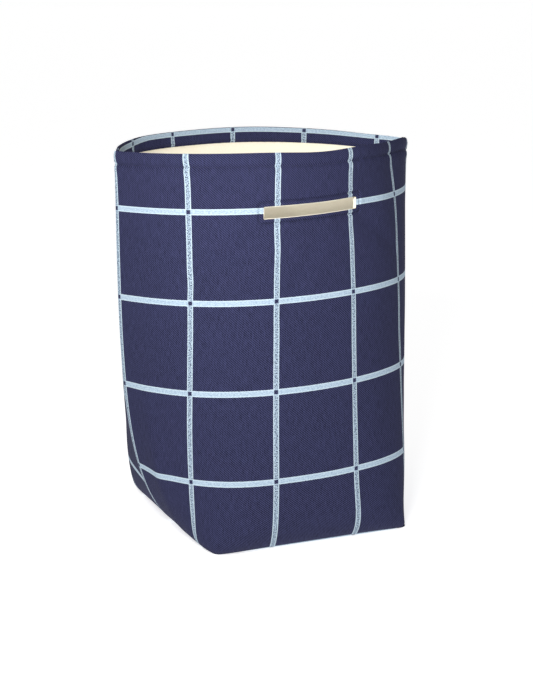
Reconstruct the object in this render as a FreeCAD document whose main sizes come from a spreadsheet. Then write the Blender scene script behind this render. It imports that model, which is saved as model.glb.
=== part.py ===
import FreeCAD
import Part
import Sketcher
import os
from math import cos, erf, exp, pi, radians, sin, sqrt, tan

# Free-standing fabric storage bin: a lined, stiffened cloth tube on a flat rectangular base.
# The origin is at the middle of the base on the floor, +Z up, the front panel faces -Y and the
# two side seams are near -X and +X.
#
# Every wall layer follows one shape. A place on it is named by its side (front or back panel),
# its distance across the panel from the panel's middle line, its distance up the cloth from the
# floor and its depth inwards from the outer face. The cloth keeps its width at every height: the
# section is a rectangle at the base and opens into a pointed oval at the rim.

SIZES = {
    "base_width": 320.0,
    "base_depth": 360.0,
    "cloth_height": 600.0,         # floor to rim, along the cloth
    "rim_height": 584.0,           # floor to rim at the panels' middle
    "seam_dip": 8.0,               # how far the rim drops at the side seams
    "corner_softness": 8.0,        # spread of the base corners along the cloth
    "body_softness": 86.0,         # what that spread gains above the base
    "left_corner_rest": 36.0,      # degrees of corner turn still left at the rim, left side
    "seam_angle": 20.0,            # degrees from panel to straight-on at a side seam, at the rim
    "rim_twist": 6.0,              # degrees that the rim is turned against the base
    "rim_shift_right": 12.0,
    "rim_shift_back": 26.0,
    "belly_left": 16.0,
    "belly_forward": 36.0,
    "back_flatness": 0.84,         # depth of the back half of the rim against the front half
    "outer_cloth": 1.0,
    "stiffener": 2.0,
    "lining_cloth": 0.8,
    "layer_gap": 0.2,
    "hem_depth": 22.0,
    "hem_stitch_drop": 20.0,
    "thread": 0.6,
    "seam_clearance": 0.3,
    "slot_length": 165.0,
    "slot_height": 18.0,
    "slot_corner": 3.0,
    "slot_drop": 85.5,             # rim to the middle of the hand slot, along the cloth
    "slot_offset": -7.0,           # slot's middle from the panel's middle line
    "facing_flange": 11.0,         # width of the cloth turned round the slot's edge
    "slot_stitch_gap": 6.5,        # slot's edge to its row of stitches
    "base_board": 3.0,
    "base_corner": 15.0,           # corner radius of the flat pieces of the base
    "base_edge_gap": 0.4,          # flat pieces of the base to the walls
    "seam_allowance": 4.0,         # room that the stiffener leaves for the sewn edges
}

BULGE_RISE = 0.07                  # share of the cloth height over which the belly swells out
SOFTEN_RISE = 0.14                 # the same for the softening of the corners
CORNER_FADE = 0.7                  # power by which the corner turn fades towards the rim
SEAM_GROWTH = 3.0                  # power by which the seam angle grows towards the rim
LEVELS = (0.0, 0.02, 0.045, 0.08, 0.13, 0.2, 0.29, 0.4, 0.52, 0.64, 0.76, 0.88, 0.96, 1.0)
COLUMN_PITCH = 11.0                # across each surface, between the points it passes through
ROW_MARGIN = 4.0                   # least height between an edge of a layer and its next row
STEPS = 333                        # of an outline, seam to seam
UPRIGHT_BAND = 40.0                # height over which the lowest cloth turns from upright
TOP_TUCK = 1.8                     # rim to the top of the layers inside the fold
FOLD_LOW, FOLD_HIGH = 1.4, 0.2     # rim to the two edges of the cloth that bridges the fold
FOLD_SIDE = 1.0                    # seam to the end of that bridge
SEAM_TOP = 4.0                     # rim to the top of the sewn edges
CUT_REACH = 40.0                   # of the cutting blocks, each way through the wall
CUT_EXTRA = 5.0                    # further reach of a block that cuts another block
PATCH_REACH = 30.0                 # of the small sheets round the hand slot, beyond it
CLEAR_OF_SLOT = 1.2                # slot's edge to the layers that the facing covers
LIP_NEAR, LIP_FAR = 0.1, 0.8       # slot's edge to the two faces of the facing inside it
LIP_OUTSIDE = 0.1                  # outer face to the facing's outer edge
LIP_OVERLAP = 0.5                  # of the facing's two parts
THREAD_GAP = 0.05                  # outer cloth to thread
THREAD_HALF = 0.4                  # half the height of the hem's row of thread
SEAM_SIDE, SEAM_END = 0.4, 0.6     # sewn edges to the stiffener and to the seam

doc = FreeCAD.newDocument("storage_bin")
sheet = doc.addObject("Spreadsheet::Sheet", "sizes")
for row, (name, value) in enumerate(SIZES.items(), start=1):
    sheet.set("A%d" % row, name)
    sheet.set("B%d" % row, str(value))
    sheet.setAlias("B%d" % row, name)
doc.recompute()


def size(name):
    """A driving size, read back from the spreadsheet."""
    return float(getattr(sheet, name))


CORNER_GAIN = 0.45 * size("corner_softness")   # cloth that each soft corner saves, each way
FRONT_HALF = size("base_width") / 2 - CORNER_GAIN
HALF = (size("base_width") + size("base_depth")) / 2 - 2 * CORNER_GAIN
CLOTH = size("cloth_height")
GAP = size("layer_gap")
OUTER_IN = size("outer_cloth")
STIFF_OUT = OUTER_IN + GAP
STIFF_IN = STIFF_OUT + size("stiffener")
LINING_OUT = STIFF_IN + GAP
LINING_IN = LINING_OUT + size("lining_cloth")
RETURN_OUT = LINING_IN + GAP
RETURN_IN = RETURN_OUT + size("outer_cloth")
BOARD_LOW = OUTER_IN + GAP
BOARD_HIGH = BOARD_LOW + size("base_board")
LINING_BASE_LOW = BOARD_HIGH + GAP
SLOT_LEVEL = CLOTH - size("slot_drop")


def seam_lean(share):
    """Angle of a panel's end against the straight-on direction, in radians."""
    return radians(size("seam_angle")) * (1 - (1 - share) ** SEAM_GROWTH)


def section(share):
    """The front panel's outline at one share of the cloth height: x and y at each step."""
    fade = (1 - share) ** CORNER_FADE
    rest = size("left_corner_rest")
    turn_left = radians(rest + (90 - rest) * fade)
    turn_right = radians(90 * fade)
    lean = seam_lean(share)
    spread = size("corner_softness")
    spread += size("body_softness") * (1 - exp(-share / SOFTEN_RISE))

    def passed(distance):
        return 0.5 * (1 + erf((distance - FRONT_HALF) / (sqrt(2) * spread)))

    step = 2 * HALF / STEPS
    headings = []
    for i in range(STEPS + 1):
        s = -HALF + i * step
        steady = (pi - 2 * lean - turn_left - turn_right) * s / (2 * HALF)
        headings.append(steady + turn_right * passed(s) - turn_left * passed(-s))
    xs = [0.0]
    ys = [0.0]
    for a, b in zip(headings, headings[1:]):
        xs.append(xs[-1] + step * (cos(a) + cos(b)) / 2)
        ys.append(ys[-1] + step * (sin(a) + sin(b)) / 2)
    chord = sqrt(xs[-1] ** 2 + ys[-1] ** 2)
    c, s = xs[-1] / chord, ys[-1] / chord
    return [(x * c + y * s - chord / 2, y * c - x * s) for x, y in zip(xs, ys)]


SECTIONS = {}


def wall_point(side, across, up):
    """A point on the outer face: side is -1 for the front panel and 1 for the back panel."""
    share = min(max(up / CLOTH, 0.0), 1.0)
    key = round(share, 6)
    if key not in SECTIONS:
        SECTIONS[key] = section(share)
    outline = SECTIONS[key]
    place = min(max((across + HALF) / (2 * HALF) * STEPS, 0.0), STEPS - 1e-6)
    i = int(place)
    f = place - i
    x = outline[i][0] * (1 - f) + outline[i + 1][0] * f
    y = outline[i][1] * (1 - f) + outline[i + 1][1] * f
    if side > 0:
        y *= -(1 + (size("back_flatness") - 1) * share ** 2)
    twist = radians(size("rim_twist")) * share
    belly = 1.5 * share / (share + BULGE_RISE) * (1 - share)
    shift_x = size("rim_shift_right") * share ** 2 - size("belly_left") * belly
    carried = 1.0 if side < 0 else (across / HALF) ** 2
    shift_y = size("rim_shift_back") * share ** 2 - size("belly_forward") * belly * carried
    dip = size("seam_dip") * (across / HALF) ** 2
    z = up / CLOTH * (size("rim_height") - dip)
    return FreeCAD.Vector(x * cos(twist) - y * sin(twist) + shift_x,
                          x * sin(twist) + y * cos(twist) + shift_y, z)


def wall_normal(side, across, up):
    """The outward direction of the outer face, kept level where the wall stands on the floor."""
    ds, du = 1.5, 3.0
    left = wall_point(side, max(across - ds, -HALF), up)
    right = wall_point(side, min(across + ds, HALF), up)
    low = wall_point(side, across, max(up - du, 0.0))
    high = wall_point(side, across, min(up + du, CLOTH))
    normal = (right - left).cross(high - low) * -side
    normal.normalize()
    normal.z *= min(up / UPRIGHT_BAND, 1.0)
    normal.normalize()
    return normal


def layer_point(side, share_across, up, depth):
    """A point at a depth inside the wall. Layers are mitred where the two panels meet."""
    reach = HALF - depth * tan(seam_lean(up / CLOTH)) - size("seam_clearance") / 2
    across = share_across * reach
    return wall_point(side, across, up) - wall_normal(side, across, up) * depth


def skin(side, shares, ups, depth):
    """The smooth surface of one face of a layer, through a grid of its points."""
    surface = Part.BSplineSurface()
    surface.interpolate([[layer_point(side, a, u, depth) for u in ups] for a in shares])
    return surface


def layer(side, across_low, across_high, up_low, up_high, depth_out, depth_in):
    """A solid sheet between two depths of the wall, over a stretch of the panel."""
    columns = max(int((across_high - across_low) / COLUMN_PITCH), 4)
    shares = [(across_low + (across_high - across_low) * i / columns) / HALF
              for i in range(columns + 1)]
    inside = [v * CLOTH for v in LEVELS
              if up_low + ROW_MARGIN < v * CLOTH < up_high - ROW_MARGIN]
    ups = [up_low] + inside + [up_high]
    if len(ups) < 4:
        ups = [up_low + (up_high - up_low) * i / 3 for i in range(4)]
    outer = skin(side, shares, ups, depth_out)
    inner = skin(side, shares, ups, depth_in)
    faces = [outer.toShape(), inner.toShape()]
    u0, u1, v0, v1 = outer.bounds()
    p0, p1, q0, q1 = inner.bounds()
    rims = [(outer.uIso(u0), inner.uIso(p0)), (outer.uIso(u1), inner.uIso(p1)),
            (outer.vIso(v0), inner.vIso(q0)), (outer.vIso(v1), inner.vIso(q1))]
    for a, b in rims:
        faces.append(Part.makeRuledSurface(a.toShape(), b.toShape()))
    shell = Part.makeShell(faces)
    shell.sewShape()
    solid = Part.makeSolid(shell)
    if solid.Volume < 0:
        solid.reverse()
    return solid


def slot_block(side, grow, radius, reach):
    """A rounded block through the wall at the hand slot, larger than the slot by grow all round."""
    middle = size("slot_offset")
    centre = wall_point(side, middle, SLOT_LEVEL)
    out = wall_normal(side, middle, SLOT_LEVEL)
    out.z = 0
    out.normalize()
    length = size("slot_length") + 2 * grow
    height = size("slot_height") + 2 * grow
    block = Part.makeBox(length, 2 * reach, height,
                         FreeCAD.Vector(-length / 2, -reach, -height / 2))
    upright = [e for e in block.Edges if abs(e.tangentAt(e.FirstParameter).y) > 0.9]
    block = block.makeFillet(radius, upright)
    turn = FreeCAD.Rotation(FreeCAD.Vector(0, 1, 0), out * -1)
    block.Placement = FreeCAD.Placement(centre, turn)
    return block


def slot_frame(side, outer_grow, inner_grow, radius):
    """A rectangular tube through the wall round the hand slot."""
    whole = slot_block(side, outer_grow, radius + outer_grow, CUT_REACH)
    return whole.cut(slot_block(side, inner_grow, radius + inner_grow, CUT_REACH + CUT_EXTRA))


def slot_clearance(side):
    """The block that opens the layers behind the outer cloth, clear of the facing."""
    return slot_block(side, CLEAR_OF_SLOT, size("slot_corner") + CLEAR_OF_SLOT, CUT_REACH)


def slot_patch(side, depth_out, depth_in):
    """A small sheet of the wall round the hand slot, between two depths."""
    reach = size("slot_length") / 2 + PATCH_REACH
    middle = size("slot_offset")
    return layer(side, middle - reach, middle + reach, SLOT_LEVEL - PATCH_REACH,
                 SLOT_LEVEL + PATCH_REACH, depth_out, depth_in)


def add(label, shape):
    piece = doc.addObject("Part::Feature", label)
    piece.Label = label
    piece.Shape = shape
    piece.Placement = FreeCAD.Placement()
    return piece


def outer_panel(side):
    """The check cloth of one side, turned in over the rim and down inside as the hem."""
    wall = layer(side, -HALF, HALF, 0, CLOTH, 0, OUTER_IN)
    turned = layer(side, -HALF, HALF, CLOTH - size("hem_depth"), CLOTH, RETURN_OUT, RETURN_IN)
    fold = layer(side, -HALF + FOLD_SIDE, HALF - FOLD_SIDE, CLOTH - FOLD_LOW, CLOTH - FOLD_HIGH,
                 OUTER_IN / 2, RETURN_IN - OUTER_IN / 2)
    whole = wall.fuse([turned, fold])
    return whole.cut(slot_block(side, 0, size("slot_corner"), CUT_REACH))


def stiffener_panel(side):
    """The stiff padding between the outer cloth and the lining, cut short of the seams."""
    edge = HALF - size("seam_allowance")
    panel = layer(side, -edge, edge, BOARD_HIGH + GAP, CLOTH - TOP_TUCK, STIFF_OUT, STIFF_IN)
    return panel.cut(slot_clearance(side))


def lining_panel(side):
    """The plain lining of one side, tucked under the turned-in hem."""
    panel = layer(side, -HALF, HALF, LINING_BASE_LOW, CLOTH - TOP_TUCK, LINING_OUT, LINING_IN)
    return panel.cut(slot_clearance(side))


def slot_facing(side):
    """The strip of lining cloth that is turned round the edge of the hand slot."""
    flange_out = LINING_IN + GAP
    radius = size("slot_corner")
    lip = slot_patch(side, LIP_OUTSIDE, LINING_IN + LIP_OVERLAP)
    lip = lip.common(slot_frame(side, -LIP_NEAR, -LIP_FAR, radius))
    flange = slot_patch(side, flange_out, flange_out + size("lining_cloth"))
    flange = flange.common(slot_frame(side, size("facing_flange"), -LIP_FAR, radius))
    return lip.fuse(flange)


def slot_stitching(side):
    """The topstitched rectangle round the hand slot, as one raised row of thread."""
    gap = size("slot_stitch_gap")
    frame = slot_frame(side, gap + size("thread"), gap, size("slot_corner"))
    return slot_patch(side, -size("thread"), -THREAD_GAP).common(frame)


def hem_stitching(side):
    """The row of thread that holds the hem, on the outside of the wall."""
    level = CLOTH - size("hem_stitch_drop")
    return layer(side, -HALF, HALF, level - THREAD_HALF, level + THREAD_HALF,
                 -size("thread"), -THREAD_GAP)


def side_seam(side, sign):
    """The sewn, turned-in edges of one side seam, in the space beside the stiffener."""
    low = HALF - size("seam_allowance") + SEAM_SIDE
    high = HALF - SEAM_END
    a, b = (low, high) if sign > 0 else (-high, -low)
    return layer(side, a, b, BOARD_HIGH + GAP, CLOTH - SEAM_TOP, STIFF_OUT, STIFF_IN)


def role_plane(body, role):
    """One of a body's own origin planes."""
    return [o for o in body.Origin.OriginFeatures if o.Role == role][0]


def rectangle(sketch, inset):
    """A centred rectangle, smaller than the base by an inset on every side."""
    half_x = size("base_width") / 2
    half_y = size("base_depth") / 2
    corners = [(-half_x, -half_y), (half_x, -half_y), (half_x, half_y), (-half_x, half_y)]
    first = sketch.GeometryCount
    for i in range(4):
        a = FreeCAD.Vector(corners[i][0], corners[i][1], 0)
        b = FreeCAD.Vector(corners[(i + 1) % 4][0], corners[(i + 1) % 4][1], 0)
        sketch.addGeometry(Part.LineSegment(a, b), False)
    for i in range(4):
        sketch.addConstraint(Sketcher.Constraint("Coincident", first + i, 2,
                                                 first + (i + 1) % 4, 1))
    for i in (0, 2):
        sketch.addConstraint(Sketcher.Constraint("Horizontal", first + i))
        sketch.addConstraint(Sketcher.Constraint("Vertical", first + i + 1))
    sketch.addConstraint(Sketcher.Constraint("Symmetric", first, 1, first + 2, 1, -1, 1))
    wide = sketch.addConstraint(Sketcher.Constraint("DistanceX", first, 1, first, 2, 2 * half_x))
    deep = sketch.addConstraint(Sketcher.Constraint("DistanceY", first + 1, 1, first + 1, 2,
                                                    2 * half_y))
    sketch.setExpression("Constraints[%d]" % wide, "sizes.base_width - 2 * (%s)" % inset)
    sketch.setExpression("Constraints[%d]" % deep, "sizes.base_depth - 2 * (%s)" % inset)


def flat_piece(label, insets, low, thickness):
    """A flat piece of the base: a padded rectangle, or a ring between two, with round corners."""
    body = doc.addObject("PartDesign::Body", label)
    body.Label = label
    sketch = body.newObject("Sketcher::SketchObject", label + "_outline")
    sketch.AttachmentSupport = [(role_plane(body, "XY_Plane"), "")]
    sketch.MapMode = "FlatFace"
    for inset in insets:
        rectangle(sketch, inset)
    pad = body.newObject("PartDesign::Pad", label + "_pad")
    pad.Profile = sketch
    pad.setExpression("Length", thickness)
    doc.recompute()
    upright = ["Edge%d" % (i + 1) for i, e in enumerate(pad.Shape.Edges)
               if abs(e.tangentAt(e.FirstParameter).z) > 0.9]
    rounding = body.newObject("PartDesign::Fillet", label + "_corners")
    rounding.Base = (pad, upright)
    rounding.setExpression("Radius", "sizes.base_corner")
    body.Tip = rounding
    body.Placement = FreeCAD.Placement(FreeCAD.Vector(0, 0, low), FreeCAD.Rotation())
    return body


SIDES = (("front", -1), ("back", 1))
for word, side in SIDES:
    add("outer_%s_panel" % word, outer_panel(side))
    add("stiffener_%s" % word, stiffener_panel(side))
    add("lining_%s_panel" % word, lining_panel(side))
    add("slot_facing_%s" % word, slot_facing(side))
    add("slot_stitching_%s" % word, slot_stitching(side))
    add("hem_stitching_%s" % word, hem_stitching(side))

for word, sign in (("left", -1), ("right", 1)):
    add("side_seam_allowance_%s" % word, side_seam(-1, sign))

OUTER_EDGE = "sizes.outer_cloth + sizes.base_edge_gap"
SEAM_EDGE = OUTER_EDGE + " + 2 * sizes.base_edge_gap"
BOARD_EDGE = OUTER_EDGE + " + sizes.seam_allowance"
INNER_EDGE = ("sizes.outer_cloth + sizes.stiffener + sizes.lining_cloth"
              " + 2 * sizes.layer_gap + sizes.base_edge_gap")
flat_piece("outer_base_panel", [OUTER_EDGE], 0, "sizes.outer_cloth")
flat_piece("base_seam_allowance", [SEAM_EDGE, BOARD_EDGE + " - sizes.base_edge_gap"],
           BOARD_LOW, "sizes.base_board")
flat_piece("base_board", [BOARD_EDGE], BOARD_LOW, "sizes.base_board")
flat_piece("lining_base_panel", [INNER_EDGE], LINING_BASE_LOW, "sizes.lining_cloth")

doc.recompute()
os.makedirs("parts", exist_ok=True)
for thing in doc.Objects:
    if "Invalid" in thing.State or "Error" in thing.State:
        raise RuntimeError("failed object " + thing.Label)
for piece in [o for o in doc.Objects if o.TypeId in ("Part::Feature", "PartDesign::Body")]:
    shape = piece.Shape
    if shape.isNull() or not shape.isValid() or not shape.Solids:
        raise RuntimeError("bad shape " + piece.Label)
    print("%-22s solids %d  volume %.0f mm3  box %.1f %.1f %.1f" % (
        piece.Label, len(shape.Solids), shape.Volume,
        shape.BoundBox.XLength, shape.BoundBox.YLength, shape.BoundBox.ZLength))
    shape.exportStep("parts/%s.step" % piece.Label)
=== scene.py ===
import math

import bmesh
import bpy
import numpy as np
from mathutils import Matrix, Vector, noise


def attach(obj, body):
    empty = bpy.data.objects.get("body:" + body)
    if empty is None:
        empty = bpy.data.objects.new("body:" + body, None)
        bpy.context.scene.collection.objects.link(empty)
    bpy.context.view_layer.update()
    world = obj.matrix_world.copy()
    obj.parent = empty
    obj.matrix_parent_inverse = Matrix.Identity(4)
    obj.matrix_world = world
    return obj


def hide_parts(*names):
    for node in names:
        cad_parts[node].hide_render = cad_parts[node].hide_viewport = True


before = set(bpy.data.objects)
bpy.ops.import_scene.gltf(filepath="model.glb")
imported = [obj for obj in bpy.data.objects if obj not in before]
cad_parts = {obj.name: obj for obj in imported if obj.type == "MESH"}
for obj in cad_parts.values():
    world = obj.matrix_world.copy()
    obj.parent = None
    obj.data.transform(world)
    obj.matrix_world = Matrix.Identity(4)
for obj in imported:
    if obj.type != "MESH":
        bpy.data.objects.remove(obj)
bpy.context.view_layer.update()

MM = 0.001

# ---------------------------------------------------------------- the bin's sizes, in millimetres
BASE_WIDTH = 320.0
BASE_DEPTH = 360.0
CLOTH_HEIGHT = 600.0
RIM_HEIGHT = 584.0
SEAM_DIP = 8.0
CORNER_SOFTNESS = 8.0              # how gradually the bottom corners turn, at the floor
BODY_SOFTNESS = 86.0               # how much more gradually they turn higher up
SOFTNESS_REACH = 0.14              # share of the height in which that comes
CORNER_FADE = 0.7                  # how soon the corners' turn is lost on the way up
LEFT_CORNER_REST = 36.0            # degrees of the left corner's turn that stay at the rim
SEAM_ANGLE = 20.0                  # degrees that a panel falls short of square at its seams
RIM_TWIST = 6.0
RIM_SHIFT_RIGHT = 12.0
RIM_SHIFT_BACK = 26.0
BELLY_LEFT = 16.0
BELLY_FORWARD = 36.0
BELLY_GAIN = 1.5
BELLY_START = 0.07                 # share of the height in which the belly grows
BACK_FLATNESS = 0.84
CORNER_GAIN = 0.45 * CORNER_SOFTNESS
FRONT_HALF = BASE_WIDTH / 2 - CORNER_GAIN
HALF = (BASE_WIDTH + BASE_DEPTH) / 2 - 2 * CORNER_GAIN

OUTER_CLOTH = 1.0
STIFF_OUT = 1.2
STIFFENER = 2.0
PADDING_SPARE = 0.2                # how much thinner the felt is than its sheet
LINING_OUT = 3.4
LINING_CLOTH = 0.8
RETURN_IN = 5.4
HEM_DEPTH = 22.0
HEM_STITCH_DROP = 20.0
HEM_GROOVE_ROWS = (-3.0, -1.2, 1.2, 3.0)
FOLD_RADIUS = RETURN_IN / 2

SLOT_LENGTH = 165.0
SLOT_HEIGHT = 18.0
SLOT_DROP = 85.5
SLOT_OFFSET = -7.0
SLOT_STITCH_GAP = 6.5
SLOT_GROOVE_ROWS = tuple(SLOT_STITCH_GAP + step for step in (-3, -1.3, 0, 1.3, 3))
SLOT_TILT = 0.026                  # rise of the hand slot towards the right, per millimetre
FACING_FLANGE = 11.0
SLOT_LEVEL = CLOTH_HEIGHT - SLOT_DROP

CHECK_PITCH = 130.0
CHECK_LINE = 8.4
FRONT_LINE = -68.9                 # a vertical line of the front panel, from its middle line
BACK_LINE = 24.2
FRONT_ROW = 83.0                   # the first horizontal line below the rim, outside
BACK_ROW = 123.0

STITCH_PITCH = 3.4
STITCH_LENGTH = 0.7 * STITCH_PITCH
THREAD = 0.9
THREAD_OUT = 0.1                   # how far outside the cloth the outer stitches lie

PANEL_CELL = 4.0                   # how finely each kind of cloth is divided
PADDING_CELL = 6.0
LINING_CELL = 5.0
BASE_CELL = 5.0
SEAM_CLEARANCE = 4.4               # the inner layers start this far above the floor

FRONT, BACK = -1, 1
WORD = {FRONT: "front", BACK: "back"}

# The wall's unevenness, with places across the panel and up the cloth.
# Swells and hollows of the front: height, middle across and up, half widths across and up.
FRONT_SWELLS = (
    (-6.5, 195, CLOTH_HEIGHT, 60, 75),
    (2.0, 190, 130, 50, 80),
    (-4.0, 78, SLOT_LEVEL - 6, 45, 36),
    (2.5, -210, 0, 60, 40),
)
# Creases: height, the two ends, half width.
CREASES = (
    (-4.2, (-60, 505), (-215, 395), 15),
    (3.2, (-40, 480), (-180, 375), 17),
    (-3.0, (70, 500), (190, 430), 14),
    (-2.4, (10, 500), (-70, 340), 13),
)
# The hem's stitched groove and the puffs beside it: steady height, puckered height, distance
# below the rim, half width.
HEM_PUFFS = (
    (-1.9, -0.7, HEM_STITCH_DROP, 2.2),
    (1.3, 0.4, 10, 6.5),
    (0.9, 0.7, 28, 6),
)
# The blunt upright fold beside the front's left seam.
FOLD_PLACE = -252.0
FOLD_LEAN = 0.1
FOLD_BLUNTNESS = 240.0
FOLD_LEVEL = 15.5
FOLD_WIDTH = 15.0
FOLD_HEIGHT = 6.0
FOLD_TOP = 270.0


# ---------------------------------------------------------------- the wall's shape
def erf(x):
    """The error function on an array."""
    return np.vectorize(math.erf)(x)


def seam_lean(share):
    """How far a panel falls short of square at its seams, at a share of the cloth's height."""
    return math.radians(SEAM_ANGLE) * (1 - (1 - share) ** 3)


def panel_outline(share, steps):
    """A front panel's outline at one share of the cloth's height, from seam to seam."""
    fade = (1 - share) ** CORNER_FADE
    turn_left = math.radians(LEFT_CORNER_REST + (90 - LEFT_CORNER_REST) * fade)
    turn_right = math.radians(90 * fade)
    lean = seam_lean(share)
    spread = CORNER_SOFTNESS + BODY_SOFTNESS * (1 - math.exp(-share / SOFTNESS_REACH))
    across = np.linspace(-HALF, HALF, steps)
    turned = 0.5 * (1 + erf((across - FRONT_HALF) / (math.sqrt(2) * spread)))
    heading = (math.pi - 2 * lean - turn_left - turn_right) * across / (2 * HALF)
    heading = heading + turn_right * turned - turn_left * turned[::-1]
    step = across[1] - across[0]
    x = np.concatenate([[0], np.cumsum((np.cos(heading)[1:] + np.cos(heading)[:-1]) / 2 * step)])
    y = np.concatenate([[0], np.cumsum((np.sin(heading)[1:] + np.sin(heading)[:-1]) / 2 * step)])
    chord = math.hypot(x[-1], y[-1])
    c, s = x[-1] / chord, y[-1] / chord
    return x * c + y * s - chord / 2, y * c - x * s


def wall_table(side, levels=241, steps=401):
    """The wall's outer face on a grid of cloth heights and distances across the panel."""
    rows = []
    across = np.linspace(-1, 1, steps)
    for share in np.linspace(0, 1, levels):
        x, y = panel_outline(share, steps)
        carried = np.ones(steps)
        if side == BACK:
            y = -y * (1 + (BACK_FLATNESS - 1) * share ** 2)
            carried = across ** 2
        twist = math.radians(RIM_TWIST) * share
        belly = BELLY_GAIN * share / (share + BELLY_START) * (1 - share)
        px = x * math.cos(twist) - y * math.sin(twist)
        py = x * math.sin(twist) + y * math.cos(twist)
        px = px + RIM_SHIFT_RIGHT * share ** 2 - BELLY_LEFT * belly
        py = py + RIM_SHIFT_BACK * share ** 2 - BELLY_FORWARD * belly * carried
        pz = share * (RIM_HEIGHT - SEAM_DIP * across ** 2)
        rows.append(np.stack([px, py, pz], axis=1))
    return np.array(rows)


WALL = {side: wall_table(side) for side in (FRONT, BACK)}


def length_table(side):
    """How far each place of the table is from the rim, measured down the cloth."""
    steps = np.linalg.norm(np.diff(WALL[side], axis=0), axis=2)
    down = np.cumsum(steps[::-1], axis=0)[::-1]
    return np.concatenate([down, np.zeros((1, down.shape[1]))], axis=0)


DOWN = {side: length_table(side) for side in (FRONT, BACK)}


def look_up(table, across, up):
    """Reads a table between its grid lines."""
    rows, cols = table.shape[:2]
    i = np.clip(up / CLOTH_HEIGHT, 0, 1) * (rows - 1)
    j = np.clip((across + HALF) / (2 * HALF), 0, 1) * (cols - 1)
    i0 = np.minimum(i.astype(int), rows - 2)
    j0 = np.minimum(j.astype(int), cols - 2)
    fi, fj = i - i0, j - j0
    if table.ndim == 3:
        fi, fj = fi[:, None], fj[:, None]
    low = table[i0, j0] * (1 - fj) + table[i0, j0 + 1] * fj
    high = table[i0 + 1, j0] * (1 - fj) + table[i0 + 1, j0 + 1] * fj
    return low * (1 - fi) + high * fi


def bump(x, centre, width):
    """1 at the centre, fading to 0 on both sides."""
    return np.exp(-((x - centre) / width) ** 2)


def crease(across, up, start, end, width):
    """1 along a soft crease between two places of the panel, fading to 0 beside and beyond it."""
    direction = np.array(end) - np.array(start)
    length = np.linalg.norm(direction)
    direction = direction / length
    along = (across - start[0]) * direction[0] + (up - start[1]) * direction[1]
    beside = (across - start[0]) * direction[1] - (up - start[1]) * direction[0]
    taper = np.clip(along / length, 0, 1)
    inside = np.where((along > 0) & (along < length), np.sin(math.pi * taper) ** 0.7, 0)
    return inside * np.exp(-(beside / width) ** 2)


def slot_rise(across, up):
    """How far the slightly tilted slot moves the cloth round it up or down."""
    whole, fade = 9, 12
    beyond_x = np.maximum(np.abs(across - SLOT_OFFSET) - SLOT_LENGTH / 2 - whole, 0)
    beyond_y = np.maximum(np.abs(up - SLOT_LEVEL) - SLOT_HEIGHT / 2 - whole, 0)
    near = bump(beyond_x, 0, fade) * bump(beyond_y, 0, fade)
    return SLOT_TILT * (across - SLOT_OFFSET) * near


def slot_distance(across, up):
    """Distance from the hand slot's edge, outside it."""
    up = up - slot_rise(across, up)
    dx = np.maximum(np.abs(across - SLOT_OFFSET) - SLOT_LENGTH / 2, 0)
    dy = np.maximum(np.abs(up - SLOT_LEVEL) - SLOT_HEIGHT / 2, 0)
    return np.hypot(dx, dy)


def softness(across, up, seed):
    """Slow uneven waves of a soft wall, from about -1 to 1."""
    return np.array([noise.noise(Vector((a / 95, u / 150, seed)))
                     + 0.5 * noise.noise(Vector((a / 42, u / 70, seed + 7)))
                     for a, u in zip(across, up)])


def cloth_relief(side, across, up):
    """How far the wall stands out of its plain shape, in millimetres."""
    seed = 3.1 if side == FRONT else 8.7
    to_seam = HALF - np.abs(across)
    free = np.clip(up / 60, 0, 1) * np.clip(to_seam / 120, 0, 1) ** 1.5
    relief = 1.6 * softness(across, up, seed) * free
    if side == FRONT:
        off_fold = across - FOLD_PLACE + FOLD_LEAN * up
        side_fold = np.exp(-(np.sqrt(off_fold ** 2 + FOLD_BLUNTNESS) - FOLD_LEVEL) / FOLD_WIDTH)
        standing = np.sin(np.clip(up / FOLD_TOP, 0, 1) * math.pi)
        relief = relief + FOLD_HEIGHT * side_fold * standing
        for height, middle_across, middle_up, wide, tall in FRONT_SWELLS:
            swell = height * bump(across, middle_across, wide) * bump(up, middle_up, tall)
            relief = relief + swell
    else:
        relief = relief - 5.0 * bump(across, -265, 75) * np.clip(up / 150, 0, 1)
    for height, start, end, width in CREASES:
        relief = relief + height * crease(across, up, start, end, width)
    base_corner = np.abs(np.abs(across) - FRONT_HALF)
    relief = relief + 2.2 * np.exp(-(base_corner / 7) ** 2 - up / 35) * np.clip(up / 14, 0, 1)
    near_slot = slot_distance(across, up)
    groove = -1.8 * bump(near_slot, SLOT_STITCH_GAP, 1.8)
    inner_puff = 1.2 * bump(near_slot, SLOT_STITCH_GAP / 2, 2.4)
    outer_puff = 0.9 * bump(near_slot, SLOT_STITCH_GAP + 5, 3)
    relief = relief + groove * (near_slot > 0) + inner_puff * (near_slot > 0) + outer_puff
    below_rim = CLOTH_HEIGHT - up
    pucker = np.sin(across * 0.55 + 2 * np.sin(across * 0.07 + seed))
    for steady, puckered, drop, width in HEM_PUFFS:
        relief = relief + (steady + puckered * pucker) * bump(below_rim, drop, width)
    side_seam = 1.0 * bump(to_seam, 0, 2.2)
    base_seam = (0.8 + 1.6 * bump(base_corner, 0, 12)) * bump(up, 0, 3)
    return relief - side_seam - base_seam


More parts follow.
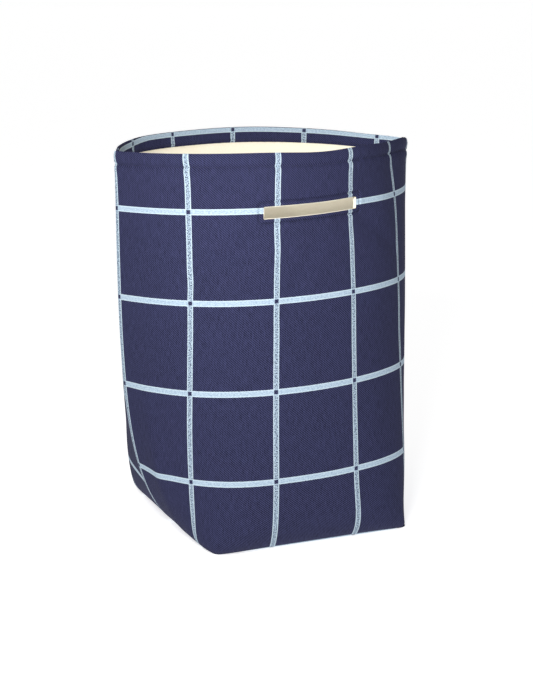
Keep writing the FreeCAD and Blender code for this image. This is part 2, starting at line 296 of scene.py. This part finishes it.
def sag(side, across, up):
    """How the slack rim sinks or rises and how the side seams stand out, in millimetres."""
    top = np.clip(up / CLOTH_HEIGHT, 0, 1)
    to_seam = HALF - np.abs(across)
    pinch_right, pinch_left, pinch_reach = 7.0, -4.5, 24
    lift_right, lift_left, lift_reach = -6.0, 1.5, 30
    pinch = np.where(across > 0, pinch_right, pinch_left) * np.exp(-to_seam / pinch_reach)
    lift = np.where(across > 0, lift_right, lift_left) * np.exp(-to_seam / lift_reach)
    pinch = pinch * top ** 4
    lift = lift * top ** 6
    if side == FRONT:
        lift = lift - 3.8 * bump(across, 5, 65) * bump(up, CLOTH_HEIGHT, 60)
    else:
        lift = lift + 3.6 * bump(across, 60, 110) * top ** 8
        lift = lift - 3.0 * (bump(across, -220, 60) + bump(across, 270, 60)) * top ** 8
    return np.stack([pinch, np.zeros(len(across)), lift], axis=1)


def wall_place(side, across, up):
    """A place on the plain wall's outer face, in millimetres."""
    return look_up(WALL[side], across, up)


def plain_normal(side, across, up):
    """The outward direction of the plain wall."""
    ds, du = 2.0, 3.0
    left = wall_place(side, np.maximum(across - ds, -HALF), up)
    right = wall_place(side, np.minimum(across + ds, HALF), up)
    low = wall_place(side, across, np.maximum(up - du, 0))
    high = wall_place(side, across, np.minimum(up + du, CLOTH_HEIGHT))
    normal = np.cross(right - left, high - low) * -side
    level_below = 25
    normal[:, 2] *= np.clip(up / level_below, 0, 1)
    return normal / np.linalg.norm(normal, axis=1)[:, None]


def layer_place(side, across, up, depth):
    """A place inside the soft wall, in millimetres, mitred where the panels meet."""
    lean = seam_lean(np.clip(up / CLOTH_HEIGHT, 0, 1))
    reach = (HALF - depth * np.tan(lean)) / HALF
    across = across * reach
    out = cloth_relief(side, across, up) - depth
    place = wall_place(side, across, up) + sag(side, across, up)
    return place + plain_normal(side, across, up) * out[:, None]


def print_drift(side, across, up):
    """How far the woven check runs off the true grain, across and down, in millimetres."""
    top = np.clip(up / CLOTH_HEIGHT, 0, 1)
    if side == BACK:
        draw_start, draw_length, draw_limit = 150, 315, 1.06
        drawn = np.minimum(np.maximum(draw_start - across, 0) / draw_length, draw_limit)
        lean = -52 * drawn ** 2 * (0.55 + 0.45 * top ** 2)
        rise = 11 * (1 - top) + 4 * np.clip((-130 - across) / 60, 0, 1) * top
        return lean, rise
    lean = -4.4 * bump(across, -199, 70) * bump(up, 350, 170)
    lean = lean - 6.0 * bump(across, 61, 60) * bump(up, 30, 50)
    lean = lean + 5.0 * np.clip((-170 - across) / 30, 0, 1) * top ** 10
    rise = 4.5 * np.clip((across - 120) / 200, 0, 1) ** 2 * bump(up, CLOTH_HEIGHT, 160)
    rise = rise - 4.5 * np.clip(1 - up / 25, 0, 1)
    return lean, rise


# ---------------------------------------------------------------- making pieces
def deselect():
    """Leaves edit mode and selects nothing."""
    if bpy.context.object and bpy.context.object.mode != "OBJECT":
        bpy.ops.object.mode_set(mode="OBJECT")
    bpy.ops.object.select_all(action="DESELECT")


def made(name):
    """Names the piece that an operator has just made."""
    piece = bpy.context.object
    piece.name = name
    piece.data.name = name
    return piece


def points_of(piece):
    """The places of a piece's vertices, one row each."""
    flat = np.empty(len(piece.data.vertices) * 3)
    piece.data.vertices.foreach_get("co", flat)
    return flat.reshape(-1, 3)


def set_points(piece, points):
    """Moves a piece's vertices to new places."""
    piece.data.vertices.foreach_set("co", np.asarray(points, dtype=float).ravel())
    piece.data.update()


def flat_cut(name, width, low, high, cell):
    """A flat rectangle of cloth in millimetres, finely divided, lying in XY."""
    deselect()
    cols = int(round(width / cell))
    rows = int(round((high - low) / cell))
    bpy.ops.mesh.primitive_grid_add(x_subdivisions=cols, y_subdivisions=rows, size=1,
                                    calc_uvs=True, location=(0, 0, 0))
    piece = made(name)
    points = points_of(piece)
    points[:, 0] *= width
    points[:, 1] = (points[:, 1] + 0.5) * (high - low) + low
    set_points(piece, points)
    return piece


def select_faces(piece, chosen):
    """Selects the faces whose middles pass a test, and nothing else."""
    mesh = bmesh.from_edit_mesh(piece.data)
    bpy.ops.mesh.select_all(action="DESELECT")
    for face in mesh.faces:
        if chosen(face.calc_center_median()):
            face.select = True
    bmesh.update_edit_mesh(piece.data)


def divide(uprights, levels):
    """Adds lines of vertices right across the flat cut that is in edit mode."""
    for place in uprights:
        bpy.ops.mesh.select_all(action="SELECT")
        bpy.ops.mesh.bisect(plane_co=(place, 0, 0), plane_no=(1, 0, 0))
    for place in levels:
        bpy.ops.mesh.select_all(action="SELECT")
        bpy.ops.mesh.bisect(plane_co=(0, place, 0), plane_no=(0, 1, 0))


def across_of(flat, side):
    """Distances across the panel on a flat cut. The back's cut lies mirrored."""
    return flat[:, 0] * -side


def cut_slot(piece, side, grow, radius, rows=()):
    """Opens the hand slot in a flat cut of cloth, with rounded corners.
    rows are the distances beyond the slot at which the cloth needs a line of vertices."""
    half_x = SLOT_LENGTH / 2 + grow
    half_y = SLOT_HEIGHT / 2 + grow
    middle = SLOT_OFFSET * -side
    bpy.ops.object.mode_set(mode="EDIT")
    reaches = [0.0, *rows]
    divide([middle + way * (half_x + reach) for reach in reaches for way in (-1, 1)],
           [SLOT_LEVEL + way * (half_y + reach) for reach in reaches for way in (-1, 1)])
    if rows:
        divide([], [CLOTH_HEIGHT - HEM_STITCH_DROP + step for step in HEM_GROOVE_ROWS])
    select_faces(piece, lambda c: abs(c.x - middle) < half_x and abs(c.y - SLOT_LEVEL) < half_y)
    bpy.ops.mesh.delete(type="FACE")
    mesh = bmesh.from_edit_mesh(piece.data)
    bpy.ops.mesh.select_all(action="DESELECT")
    touching = 0.01
    for vertex in mesh.verts:
        off_x = abs(abs(vertex.co.x - middle) - half_x)
        off_y = abs(abs(vertex.co.y - SLOT_LEVEL) - half_y)
        vertex.select = off_x < touching and off_y < touching
    mesh.select_flush(True)
    bmesh.update_edit_mesh(piece.data)
    bpy.ops.mesh.bevel(offset=radius, segments=3, affect="VERTICES")
    bpy.ops.object.mode_set(mode="OBJECT")
    points = points_of(piece)
    points[:, 1] += slot_rise(across_of(points, side), points[:, 1])
    set_points(piece, points)


def lay_uv(piece, us, vs):
    """Gives the piece a UV map in metres of cloth from two numbers per vertex."""
    layer = piece.data.uv_layers[0] if piece.data.uv_layers else piece.data.uv_layers.new()
    layer.name = "cloth"
    corner = np.empty(len(piece.data.loops), dtype=int)
    piece.data.loops.foreach_get("vertex_index", corner)
    uv = np.stack([us[corner], vs[corner]], axis=1) * MM
    layer.data.foreach_set("uv", uv.ravel())


def thicken(piece, thickness, offset=-1):
    """Gives a sheet its thickness, behind its face, and soft shading."""
    solid = piece.modifiers.new("thickness", "SOLIDIFY")
    solid.thickness = thickness * MM
    solid.offset = offset
    solid.use_rim = True
    deselect()
    bpy.context.view_layer.objects.active = piece
    piece.select_set(True)
    bpy.ops.object.modifier_apply(modifier=solid.name)
    bpy.ops.object.shade_smooth_by_angle(angle=math.radians(50))


def finish_piece(piece, material, node):
    """Gives a piece its material, hangs it on the root body and hides the CAD part of the node
    that it stands for.
    """
    piece.data.materials.clear()
    piece.data.materials.append(material)
    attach(piece, "root")
    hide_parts(node)


# ---------------------------------------------------------------- shader maths
class Wire:
    """A shader socket that Python's operators can work on."""
    tree = None

    def __init__(self, socket):
        self.socket = socket

    @classmethod
    def node(cls, kind, settings=None, sockets=None):
        """Adds a node of a type, with its settings and the values or links of its sockets."""
        added = cls.tree.nodes.new(kind)
        for key, value in (settings or {}).items():
            setattr(added, key, value)
        for key, value in (sockets or {}).items():
            plug(added.inputs[key], value)
        return added

    @classmethod
    def maths(cls, operation, *values, clamp=False):
        """Adds one step of arithmetic."""
        settings = {"operation": operation, "use_clamp": clamp}
        added = cls.node("ShaderNodeMath", settings, dict(enumerate(values)))
        return Wire(added.outputs[0])

    def __add__(self, other):
        return Wire.maths("ADD", self, other)

    __radd__ = __add__

    def __sub__(self, other):
        return Wire.maths("SUBTRACT", self, other)

    def __rsub__(self, other):
        return Wire.maths("SUBTRACT", other, self)

    def __mul__(self, other):
        return Wire.maths("MULTIPLY", self, other)

    __rmul__ = __mul__

    def __truediv__(self, other):
        return Wire.maths("DIVIDE", self, other)

    def __rtruediv__(self, other):
        return Wire.maths("DIVIDE", other, self)

    def __abs__(self):
        return Wire.maths("ABSOLUTE", self)

    def clamped(self):
        return Wire.maths("ADD", self, 0, clamp=True)

    def sine(self):
        return Wire.maths("SINE", self)

    def fraction(self):
        return Wire.maths("FRACT", self)

    def most(self, other):
        return Wire.maths("MAXIMUM", self, other)


def plug(socket, value):
    """Links a wire to a socket, or sets the socket's value."""
    if isinstance(value, Wire):
        Wire.tree.links.new(value.socket, socket)
    else:
        socket.default_value = value


def linear(red, green, blue):
    """A display colour in 0 to 255 as the shader's colour."""
    out = []
    for value in (red, green, blue):
        v = value / 255
        out.append(v / 12.92 if v <= 0.04045 else ((v + 0.055) / 1.055) ** 2.4)
    return (*out, 1.0)


def step_between(value, low, high):
    """0 below low, 1 above high, and a straight ramp between."""
    return ((value - low) / (high - low)).clamped()


def blend_colour(factor, first, second):
    """The first colour where the factor is 0 and the second where it is 1."""
    mix = Wire.node("ShaderNodeMix", {"data_type": "RGBA"}, {0: factor, 6: first, 7: second})
    return Wire(mix.outputs[2])


def axes(vector):
    """The three numbers of a vector."""
    split = Wire.node("ShaderNodeSeparateXYZ", sockets={0: vector})
    return [Wire(output) for output in split.outputs]


def joined(x, y, z=0.0):
    """A vector from three numbers."""
    return Wire(Wire.node("ShaderNodeCombineXYZ", sockets={0: x, 1: y, 2: z}).outputs[0])


def cloth_uv():
    """The piece's UV map, in millimetres of cloth."""
    uv = Wire.node("ShaderNodeUVMap", {"uv_map": "cloth"})
    return [axis / MM for axis in axes(Wire(uv.outputs[0]))[:2]]


def object_place():
    """The place on the piece, in millimetres."""
    place = Wire.node("ShaderNodeTexCoord")
    return [axis / MM for axis in axes(Wire(place.outputs["Object"]))]


def grain(vector, scale, detail=2.0, roughness=0.5):
    """Soft random unevenness, from 0 to 1."""
    noisy = Wire.node("ShaderNodeTexNoise", {"noise_dimensions": "3D"},
                      {"Vector": vector, "Scale": scale, "Detail": detail,
                       "Roughness": roughness})
    return Wire(noisy.outputs[0])


def new_material(name):
    """A material and its shader, to which the next wires go."""
    material = bpy.data.materials.new(name)
    material.use_nodes = True
    Wire.tree = material.node_tree
    return material, Wire.tree.nodes["Principled BSDF"]


def bumped(shader, height, strength, distance):
    """Gives a finish its fine relief."""
    relief = Wire.node("ShaderNodeBump",
                       sockets={"Strength": strength, "Distance": distance, "Height": height})
    plug(shader.inputs["Normal"], Wire(relief.outputs[0]))


def line_distance(place):
    """Distance in millimetres from the nearest line of the check."""
    return abs((place / CHECK_PITCH + 0.5).fraction() - 0.5) * CHECK_PITCH


def check_cloth():
    """Navy cotton twill with a light blue windowpane check."""
    material, shader = new_material("check_cloth")
    across, down = cloth_uv()
    fine = joined(across, down)
    ragged = (grain(fine, 0.9) - 0.5) * 0.9
    from_upright = line_distance(across) + ragged
    from_level = line_distance(down) + ragged
    half, edge = CHECK_LINE / 2, 0.35
    upright = 1 - step_between(from_upright, half - edge, half + edge)
    level = 1 - step_between(from_level, half - edge, half + edge)
    core, core_edge = 3.0, 0.4
    upright_core = 1 - step_between(from_upright, core - core_edge, core + core_edge)
    level_core = 1 - step_between(from_level, core - core_edge, core + core_edge)
    lined = upright.most(level)
    crossing = upright_core * level_core

    rib_across, rib_down = 3.9, 3.3
    ribs = ((across / rib_across - down / rib_down) * (2 * math.pi)).sine() * 0.5 + 0.5
    threads = grain(joined(across * 2.2, down * 0.22), 0.35, 3.0, 0.6)
    picks = grain(joined(across * 0.5, down * 1.8), 0.5)
    flecks = grain(fine, 0.7, 1.0)
    streaks = grain(joined(across * 0.9, down * 0.05), 0.5, 3.0, 0.7)
    weave = (ribs * 0.4 + threads * 0.45 + picks * 0.15).clamped()
    worn = grain(fine, 0.012, 3.0, 0.6)
    navy_dark, navy_light = linear(4, 5, 16), linear(62, 64, 98)
    worn_navy, streak_navy = linear(46, 48, 78), linear(58, 61, 96)
    fleck_blue = linear(96, 104, 146)
    navy = blend_colour(step_between(weave, 0.26, 0.74), navy_dark, navy_light)
    navy = blend_colour(step_between(worn, 0.35, 0.75) * 0.25, navy, worn_navy)
    navy = blend_colour(step_between(streaks, 0.5, 0.75) * 0.3, navy, streak_navy)
    navy = blend_colour(step_between(flecks, 0.66, 0.8) * ribs * 0.5, navy, fleck_blue)

    dashes = grain(joined(across * 0.35, down * 0.9), 0.9, 2.0)
    pale_dark, pale_light = linear(142, 160, 179), linear(170, 188, 201)
    speck_navy, border_pale = linear(24, 32, 60), linear(183, 200, 211)
    inner_light = blend_colour(step_between(dashes, 0.42, 0.56), pale_dark, pale_light)
    specks = step_between(grain(joined(across * 1.1, down * 0.8), 0.7, 1.0), 0.49, 0.55)
    speckled = blend_colour(specks * upright * (1 - level) * 0.85, inner_light, speck_navy)
    border = blend_colour(upright_core.most(level_core), border_pale, speckled)
    light = blend_colour(crossing, border, navy)
    colour = blend_colour(lined, navy, light)
    plug(shader.inputs["Base Color"], colour)
    plug(shader.inputs["Roughness"], 0.9 - lined * 0.08)
    shader.inputs["Specular IOR Level"].default_value = 0.08
    bumped(shader, weave + lined * 0.3, 0.5, 0.0006)
    return material


def plain_cloth(name, dark, light):
    """A plain woven cotton."""
    thread_pitch = 0.9
    turn = 2 * math.pi / thread_pitch
    material, shader = new_material(name)
    across, down = cloth_uv()
    warp = (across * turn).sine()
    weft = (down * turn).sine()
    slubs = grain(joined(across * 0.35, down * 2.0), 0.6) * 0.5
    slubs = slubs + grain(joined(across * 2.0, down * 0.35), 0.6) * 0.5
    weave = (warp * weft * 0.2 + slubs).clamped()
    cloud = grain(joined(across, down), 0.02, 3.0)
    colour = blend_colour(step_between(weave, 0.2, 0.8), dark, light)
    colour = blend_colour(step_between(cloud, 0.35, 0.7) * 0.2, colour, dark)
    plug(shader.inputs["Base Color"], colour)
    plug(shader.inputs["Roughness"], 0.92 - weave * 0.05)
    shader.inputs["Specular IOR Level"].default_value = 0.2
    shader.inputs["Sheen Weight"].default_value = 0.1
    bumped(shader, weave, 0.4, 0.0004)
    return material


def thread_finish(name, dark, light):
    """Twisted sewing thread."""
    material, shader = new_material(name)
    x, y, z = object_place()
    twist_pitch = 0.5
    twist = ((x + y + z) * (2 * math.pi / twist_pitch)).sine() * 0.5 + 0.5
    plug(shader.inputs["Base Color"], blend_colour(twist, dark, light))
    plug(shader.inputs["Roughness"], 0.7 + twist * 0.15)
    bumped(shader, twist, 0.4, 0.0002)
    return material


def fibre_finish(name, dark, light, scale):
    """Pressed fibres, as on felt and board."""
    material, shader = new_material(name)
    x, y, z = object_place()
    fibres = grain(joined(x, y, z), scale, 4.0, 0.65)
    plug(shader.inputs["Base Color"], blend_colour(step_between(fibres, 0.3, 0.7), dark, light))
    plug(shader.inputs["Roughness"], 0.85 + fibres * 0.1)
    bumped(shader, fibres, 0.5, 0.0005)
    return material


CHECK = check_cloth()
LINING = plain_cloth("lining_cloth", linear(238, 228, 203), linear(250, 245, 230))
FELT = fibre_finish("padding_felt", linear(188, 188, 184), linear(222, 222, 217), 0.8)
BOARD = fibre_finish("grey_board", linear(120, 116, 108), linear(158, 152, 142), 0.4)
SEAM_CLOTH = fibre_finish("navy_seam_cloth", linear(12, 13, 30), linear(44, 47, 76), 0.7)
THREAD_NAVY = thread_finish("navy_thread", linear(14, 15, 34), linear(34, 36, 64))


# ---------------------------------------------------------------- the cloth walls
def wrap(piece, side):
    """Moves a flat cut onto the wall. Past the rim it folds over and runs down inside."""
    flat = points_of(piece)
    across = across_of(flat, side)
    run = flat[:, 1]
    top = CLOTH_HEIGHT - FOLD_RADIUS
    arc = math.pi * FOLD_RADIUS
    turn = np.clip((run - top) / FOLD_RADIUS, 0, math.pi)
    beyond = np.maximum(run - top - arc, 0)
    up = np.minimum(run, top) + FOLD_RADIUS * np.sin(turn) - beyond
    inward = FOLD_RADIUS * (1 - np.cos(turn))
    places = layer_place(side, across, np.minimum(up, CLOTH_HEIGHT), inward)
    places[:, 2] += np.maximum(up - CLOTH_HEIGHT, 0)
    hem_puff = 0.9 * bump(beyond, 9, 6) * (beyond > 0)
    places = places - plain_normal(side, across, up) * hem_puff[:, None]
    set_points(piece, places * MM)
    down = look_up(DOWN[side], across, np.minimum(run, CLOTH_HEIGHT))
    return across, down - np.maximum(run - CLOTH_HEIGHT, 0)


def outer_panel(side):
    """The check cloth of one side with its turned-in hem."""
    total = CLOTH_HEIGHT - FOLD_RADIUS + math.pi * FOLD_RADIUS + HEM_DEPTH
    piece = flat_cut("outer_%s_cloth" % WORD[side], 2 * HALF, 0, total, PANEL_CELL)
    cut_slot(piece, side, grow=0, radius=3.0, rows=SLOT_GROOVE_ROWS)
    up = np.minimum(points_of(piece)[:, 1], CLOTH_HEIGHT)
    across, down = wrap(piece, side)
    line = FRONT_LINE if side == FRONT else BACK_LINE
    row = FRONT_ROW if side == FRONT else BACK_ROW
    lean, rise = print_drift(side, across, up)
    lay_uv(piece, across - line + lean, down - row + rise)
    thicken(piece, OUTER_CLOTH)
    finish_piece(piece, CHECK, "outer_%s_panel" % WORD[side])


def ripples(side, across, up):
    """The loose upright folds of the lining, in millimetres. They go deeper than they stand."""
    seed = 21.0 if side == FRONT else 33.0
    ripple = np.array([noise.noise(Vector((a / 26, u / 260, seed))) for a, u in zip(across, up)])
    hung = np.clip((CLOTH_HEIGHT - up - 20) / 60, 0, 1) * np.clip(up / 60, 0, 1)
    near = np.clip(slot_distance(across, up) / 40, 0, 1)
    folds = 1.6 * ripple * hung * near
    return folds - np.maximum(folds, 0) * 0.6


def inner_layer(name, node, side, depth, thickness, span, edge, cell, grow):
    """A layer inside the outer cloth: padding or lining."""
    is_lining = name.startswith("lining")
    low, high = span
    piece = flat_cut(name, 2 * (HALF - edge), low, high, cell)
    cut_slot(piece, side, grow, radius=2.5)
    flat = points_of(piece)
    across, up = across_of(flat, side), flat[:, 1]
    places = layer_place(side, across, up, depth)
    if is_lining:
        places = places + plain_normal(side, across, up) * ripples(side, across, up)[:, None]
    set_points(piece, places * MM)
    lay_uv(piece, across, look_up(DOWN[side], across, up))
    thicken(piece, thickness)
    material, slot = (LINING, "lining_cloth") if is_lining else (FELT, "padding")
    finish_piece(piece, material, node)


def slot_facing(side):
    """The lining cloth turned round the edge of the hand slot."""
    half_height = SLOT_HEIGHT / 2 + FACING_FLANGE
    piece = flat_cut("slot_lips_%s" % WORD[side], SLOT_LENGTH + 2 * FACING_FLANGE,
                     SLOT_LEVEL - half_height, SLOT_LEVEL + half_height, PANEL_CELL)
    points = points_of(piece)
    points[:, 0] += SLOT_OFFSET * -side
    set_points(piece, points)
    cut_slot(piece, side, grow=-0.7, radius=2.3)
    bpy.ops.object.mode_set(mode="EDIT")
    mesh = bmesh.from_edit_mesh(piece.data)
    bpy.ops.mesh.select_all(action="DESELECT")
    reach = 1
    for edge in mesh.edges:
        middle = (edge.verts[0].co + edge.verts[1].co) / 2
        inside = (abs(middle.x + SLOT_OFFSET * side) < SLOT_LENGTH / 2 + reach
                  and abs(middle.y - SLOT_LEVEL) < SLOT_HEIGHT / 2 + reach)
        edge.select = edge.is_boundary and inside
    bmesh.update_edit_mesh(piece.data)
    turns, turn_depth = 3, 1.5
    for _ in range(turns):
        bpy.ops.mesh.extrude_region_move(
            TRANSFORM_OT_translate={"value": (0, 0, turn_depth)})
    bpy.ops.object.mode_set(mode="OBJECT")
    flat = points_of(piece)
    across, up, turned_in = across_of(flat, side), flat[:, 1], flat[:, 2]
    behind_lining = LINING_OUT + LINING_CLOTH + 0.9
    places = layer_place(side, across, up, behind_lining - turned_in)
    set_points(piece, places * MM)
    lay_uv(piece, across, up + turned_in)
    thicken(piece, LINING_CLOTH * 0.8, offset=1)
    finish_piece(piece, LINING, "slot_facing_%s" % WORD[side])


# ---------------------------------------------------------------- stitches
def stitch_shape():
    """One stitch: a short rounded rod along X, in millimetres."""
    deselect()
    bpy.ops.mesh.primitive_cylinder_add(vertices=6, radius=THREAD / 2, depth=STITCH_LENGTH,
                                        rotation=(0, math.pi / 2, 0))
    piece = made("stitch_pattern")
    bpy.ops.object.transform_apply(location=False, rotation=True, scale=False)
    bpy.ops.object.mode_set(mode="EDIT")
    bpy.ops.mesh.select_all(action="SELECT")
    bpy.ops.mesh.subdivide(number_cuts=1)
    bpy.ops.object.mode_set(mode="OBJECT")
    points = points_of(piece)
    share = np.abs(points[:, 0]) / (STITCH_LENGTH / 2)
    slimmer, sunk = 0.45, 0.5
    points[:, 1:] *= (1 - slimmer * share ** 2)[:, None]
    points[:, 2] -= sunk * share ** 2 * THREAD
    set_points(piece, points)
    faces = [list(face.vertices) for face in piece.data.polygons]
    bpy.data.objects.remove(piece)
    return points, faces


STITCH_POINTS, STITCH_FACES = stitch_shape()


def stitch_row(name, node, rows):
    """Copies of the stitch along lists of places with their directions and outward normals."""
    verts, faces = [], []
    for places, outs in rows:
        for i in range(len(places) - 1):
            along = places[i + 1] - places[i]
            middle = (places[i + 1] + places[i]) / 2
            length = np.linalg.norm(along)
            along = along / length
            out = outs[i] - along * np.dot(outs[i], along)
            out = out / np.linalg.norm(out)
            beside = np.cross(out, along)
            start = len(verts) * len(STITCH_POINTS)
            p = STITCH_POINTS
            verts.append(middle + p[:, :1] * along * (length / STITCH_PITCH)
                         + p[:, 1:2] * beside + p[:, 2:] * out)
            faces.extend([[corner + start for corner in face] for face in STITCH_FACES])
    mesh = bpy.data.meshes.new(name)
    mesh.from_pydata((np.concatenate(verts) * MM).tolist(), [], faces)
    mesh.update()
    piece = bpy.data.objects.new(name, mesh)
    bpy.context.collection.objects.link(piece)
    deselect()
    bpy.context.view_layer.objects.active = piece
    piece.select_set(True)
    bpy.ops.object.shade_smooth()
    finish_piece(piece, THREAD_NAVY, node)


def on_wall(side, across, up, depth):
    """Places on the wall and the outward directions there."""
    return layer_place(side, across, up, depth), plain_normal(side, across, up)


def hem_row(side, depth, facing):
    """The hem's row of stitches, seen from outside (facing 1) or inside (-1)."""
    reach = HALF - 3
    count = int(2 * reach / STITCH_PITCH)
    across = np.linspace(-reach, reach, count)
    up = np.full(count, CLOTH_HEIGHT - HEM_STITCH_DROP)
    places, outs = on_wall(side, across, up, depth)
    return places, outs * facing


def frame_rows(side, depth):
    """The stitched rectangle round the hand slot."""
    half_x = SLOT_LENGTH / 2 + SLOT_STITCH_GAP
    half_y = SLOT_HEIGHT / 2 + SLOT_STITCH_GAP
    corners = np.array([(-half_x, -half_y), (half_x, -half_y), (half_x, half_y),
                        (-half_x, half_y)])
    rows = []
    for a, b in zip(corners, np.roll(corners, -1, axis=0)):
        count = int(np.linalg.norm(b - a) / STITCH_PITCH) + 1
        share = np.linspace(0, 1, count)[:, None]
        line = a * (1 - share) + b * share
        across, up = line[:, 0] + SLOT_OFFSET, line[:, 1] + SLOT_LEVEL
        rows.append(on_wall(side, across, up + slot_rise(across, up), depth))
    return rows


# ---------------------------------------------------------------- the base
def base_cloth(name, node, material, inset, radius, height, thickness, wave):
    """A flat cloth panel of the base with rounded corners."""
    width, depth = BASE_WIDTH - 2 * inset, BASE_DEPTH - 2 * inset
    piece = flat_cut(name, width, -depth / 2, depth / 2, BASE_CELL)
    points = points_of(piece)
    half_x, half_y = width / 2, depth / 2
    over_x = np.maximum(np.abs(points[:, 0]) - (half_x - radius), 0)
    over_y = np.maximum(np.abs(points[:, 1]) - (half_y - radius), 0)
    corner = (over_x > 0) & (over_y > 0)
    far = np.maximum(np.hypot(over_x, over_y), 1e-6)
    pull = np.where(corner, np.maximum(over_x, over_y) / far, 1.0)
    round_x = np.sign(points[:, 0]) * (half_x - radius + over_x * pull)
    round_y = np.sign(points[:, 1]) * (half_y - radius + over_y * pull)
    points[:, 0] = np.where(corner, round_x, points[:, 0])
    points[:, 1] = np.where(corner, round_y, points[:, 1])
    edge = np.minimum(half_x - np.abs(points[:, 0]), half_y - np.abs(points[:, 1]))
    size, deepest, flat_edge = 60, -0.2, 30
    waves = np.array([noise.noise(Vector((x / size, y / size, 5.5))) for x, y in points[:, :2]])
    waves = np.maximum(waves, deepest) * np.clip(edge / flat_edge, 0, 1)
    points[:, 2] = height + wave * waves
    set_points(piece, points * MM)
    lay_uv(piece, points[:, 0] - CHECK_PITCH / 2, points[:, 1] - CHECK_PITCH / 2)
    thicken(piece, thickness)
    finish_piece(piece, material, node)


# ---------------------------------------------------------------- build the bin
for side, word in WORD.items():
    outer_panel(side)
    inner_layer("padding_" + word, "stiffener_" + word, side, depth=STIFF_OUT + PADDING_SPARE,
                thickness=STIFFENER - PADDING_SPARE,
                span=(SEAM_CLEARANCE, CLOTH_HEIGHT - HEM_STITCH_DROP - 6), edge=4.0,
                cell=PADDING_CELL, grow=SLOT_STITCH_GAP + 5)
    inner_layer("lining_%s_cloth" % word, "lining_%s_panel" % word, side, depth=LINING_OUT,
                thickness=LINING_CLOTH, span=(SEAM_CLEARANCE, CLOTH_HEIGHT - 1.8), edge=0.0,
                cell=LINING_CELL, grow=1.2)
    slot_facing(side)
    stitch_row("hem_stitches_" + word, "hem_stitching_" + word,
               [hem_row(side, -THREAD_OUT, 1), hem_row(side, RETURN_IN, -1)])
    stitch_row("slot_stitches_" + word, "slot_stitching_" + word, frame_rows(side, -THREAD_OUT))

base_cloth("outer_base_cloth", "outer_base_panel", CHECK, inset=0.9, radius=12,
           height=1.0, thickness=OUTER_CLOTH, wave=0.0)
base_cloth("lining_base_cloth", "lining_base_panel", LINING, inset=2.4, radius=7,
           height=5.2, thickness=LINING_CLOTH, wave=1.6)

for node, material in (("base_board", BOARD), ("base_seam_allowance", SEAM_CLOTH),
                       ("side_seam_allowance_left", SEAM_CLOTH),
                       ("side_seam_allowance_right", SEAM_CLOTH)):
    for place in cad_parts[node].material_slots:
        place.material = material


# ---------------------------------------------------------------- floor, light and camera
def studio():
    """A bright floor and air, white near the floor and dimmer above."""
    deselect()
    bpy.ops.mesh.primitive_plane_add(size=240, location=(0, 0, -0.0005))
    floor = made("studio_floor")
    material, shader = new_material("studio_white")
    shader.inputs["Base Color"].default_value = (0.8, 0.8, 0.8, 1)
    shader.inputs["Roughness"].default_value = 1.0
    shader.inputs["Emission Color"].default_value = (1, 1, 1, 1)
    shader.inputs["Emission Strength"].default_value = 0.7
    floor.data.materials.append(material)
    world = bpy.data.worlds.new("studio_air")
    bpy.context.scene.world = world
    world.use_nodes = True
    Wire.tree = world.node_tree
    air = Wire.tree.nodes["Background"]
    air.inputs["Color"].default_value = (1, 1, 1, 1)
    height = axes(Wire(Wire.node("ShaderNodeTexCoord").outputs["Generated"]))[2]
    plug(air.inputs["Strength"], 1.0 - step_between(height, 0.03, 0.2) * 0.65)


def soft_key():
    """A wide soft lamp on the left, aimed at the front wall."""
    place, aim = Vector((-0.78, -1.18, 1.03)), Vector((0.02, -0.1, 0.7))
    lamp = bpy.data.lights.new("soft_key", "AREA")
    lamp.shape = "RECTANGLE"
    lamp.energy = 10.5
    lamp.size = 0.5
    lamp.size_y = 0.3
    lamp.spread = math.radians(110)
    holder = bpy.data.objects.new("soft_key", lamp)
    holder.visible_camera = False
    bpy.context.collection.objects.link(holder)
    holder.location = place
    holder.rotation_euler = (aim - place).to_track_quat("-Z", "Y").to_euler()


def camera():
    """The bin seen from its front left, a little from above."""
    turned = math.radians(23.3)
    down = math.radians(12.75)
    distance = 2.534
    aim = Vector((0, 0, 0.2766))
    forward = Vector((math.cos(down) * math.sin(turned), math.cos(down) * math.cos(turned),
                      -math.sin(down)))
    lens = bpy.data.cameras.new("camera")
    lens.lens = 86.85
    lens.sensor_width = 36
    lens.sensor_fit = "AUTO"
    lens.clip_end = 50
    holder = bpy.data.objects.new("camera", lens)
    bpy.context.collection.objects.link(holder)
    holder.location = aim - forward * distance
    holder.rotation_euler = forward.to_track_quat("-Z", "Y").to_euler()
    bpy.context.scene.camera = holder


studio()
soft_key()
camera()
bpy.context.scene.view_settings.view_transform = "Standard"
